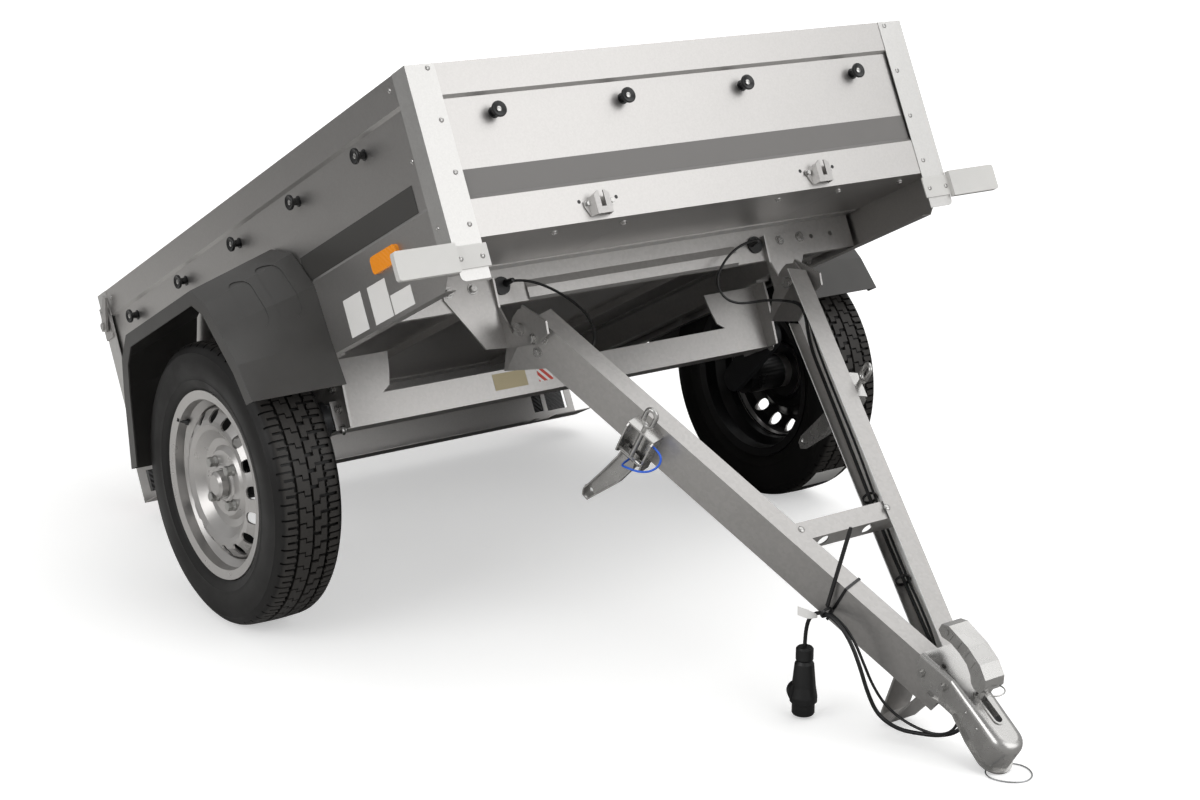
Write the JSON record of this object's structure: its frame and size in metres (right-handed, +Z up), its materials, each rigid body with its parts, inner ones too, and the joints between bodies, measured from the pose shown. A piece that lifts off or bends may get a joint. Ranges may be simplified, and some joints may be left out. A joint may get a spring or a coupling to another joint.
{
  "type": "utility trailer",
  "caption": "Light single-axle utility trailer with an open sheet-steel box tipped back on its axle, a hinged A-frame drawbar with ball coupling, mudguards and tailgate.",
  "frame": {"origin": "centre of the tow ball's seat in the coupling, with its nose on the ground", "axes": "+X forward towards the coupling, +Y left, +Z up"},
  "size_m": [2.2516, 1.508, 1.1029],
  "materials": {
    "zinc_sheet": "satin",
    "galvanised_steel": "satin",
    "bright_zinc": "polished",
    "dark_iron": "matte",
    "guard_plastic": "matte",
    "black_plastic": "satin",
    "rim_silver": "gloss",
    "tyre_rubber": "matte",
    "orange_lens": "gloss",
    "white_lens": "gloss",
    "red_lens": "gloss",
    "cable_black": "satin",
    "blue_cord": "satin",
    "steel_cable": "satin"
  },
  "bodies": {
    "box": {"axle_beam": "galvanised_steel", "axle_plates": "galvanised_steel", "beam_grommets": "black_plastic", "catches": "galvanised_steel", "corner_posts": "zinc_sheet", "far_cable": "cable_black", "floor": "zinc_sheet", "front_beam": "galvanised_steel", "front_markers": "white_lens", "front_panel": "zinc_sheet", "hinge_brackets": "galvanised_steel", "light_bar": "zinc_sheet", "mudguard_left": "guard_plastic", "mudguard_right": "guard_plastic", "near_cable": "cable_black", "pivot_bolts": "bright_zinc", "rear_sill": "galvanised_steel", "side_panel_left": "zinc_sheet", "side_panel_right": "zinc_sheet", "side_rails": "galvanised_steel", "side_reflectors": "orange_lens", "sill_hinges": "galvanised_steel", "swing_arms": "dark_iron", "tail_lamps": "red_lens", "tailgate_latches": "galvanised_steel", "tarp_knobs": "black_plastic"},
    "tailgate": {"tailgate_hinges": "galvanised_steel", "tailgate_panel": "zinc_sheet"},
    "drawbar": {"arm_cable": "cable_black", "arm_left": "galvanised_steel", "arm_plates": "galvanised_steel", "arm_right": "galvanised_steel", "arm_ties": "black_plastic", "arm_wire": "cable_black", "ball_socket": "dark_iron", "coupling_bolts": "bright_zinc", "coupling_handle": "bright_zinc", "coupling_shell": "bright_zinc", "drawbar_crossmember": "galvanised_steel", "latch_eyes": "bright_zinc", "latch_frames": "bright_zinc", "latch_levers": "bright_zinc", "latch_tether": "blue_cord", "plug": "black_plastic", "plug_cable": "cable_black", "plug_tie": "black_plastic", "rest_strap": "galvanised_steel", "safety_cable": "steel_cable", "spare_loop": "cable_black"},
    "wheel_left": {"hub_left": "dark_iron", "rim_left": "rim_silver", "tyre_left": "tyre_rubber", "wheel_bolts_left": "bright_zinc"},
    "wheel_right": {"hub_right": "dark_iron", "rim_right": "rim_silver", "tyre_right": "tyre_rubber", "wheel_bolts_right": "bright_zinc"}
  },
  "joints": [
    {"name": "drawbar_tip", "type": "hinge", "parent": "box", "child": "drawbar", "pos_m": [-0.8977, 0, 0.56222], "axis": [0, 1, 0], "range_deg": [-59.35, 0], "deforming": ["near_cable", "far_cable"]},
    {"name": "wheel_left_spin", "type": "hinge", "parent": "box", "child": "wheel_left", "pos_m": [-1.34329, 0.6625, 0.22626], "axis": [0, 1, 0], "continuous": true},
    {"name": "wheel_right_spin", "type": "hinge", "parent": "box", "child": "wheel_right", "pos_m": [-1.34329, -0.6625, 0.22626], "axis": [0, 1, 0], "continuous": true},
    {"name": "tailgate_swing", "type": "hinge", "parent": "box", "child": "tailgate", "pos_m": [-2.056, 0, 0.12366], "axis": [0, 1, 0], "range_deg": [-90, 0]}
  ]
}
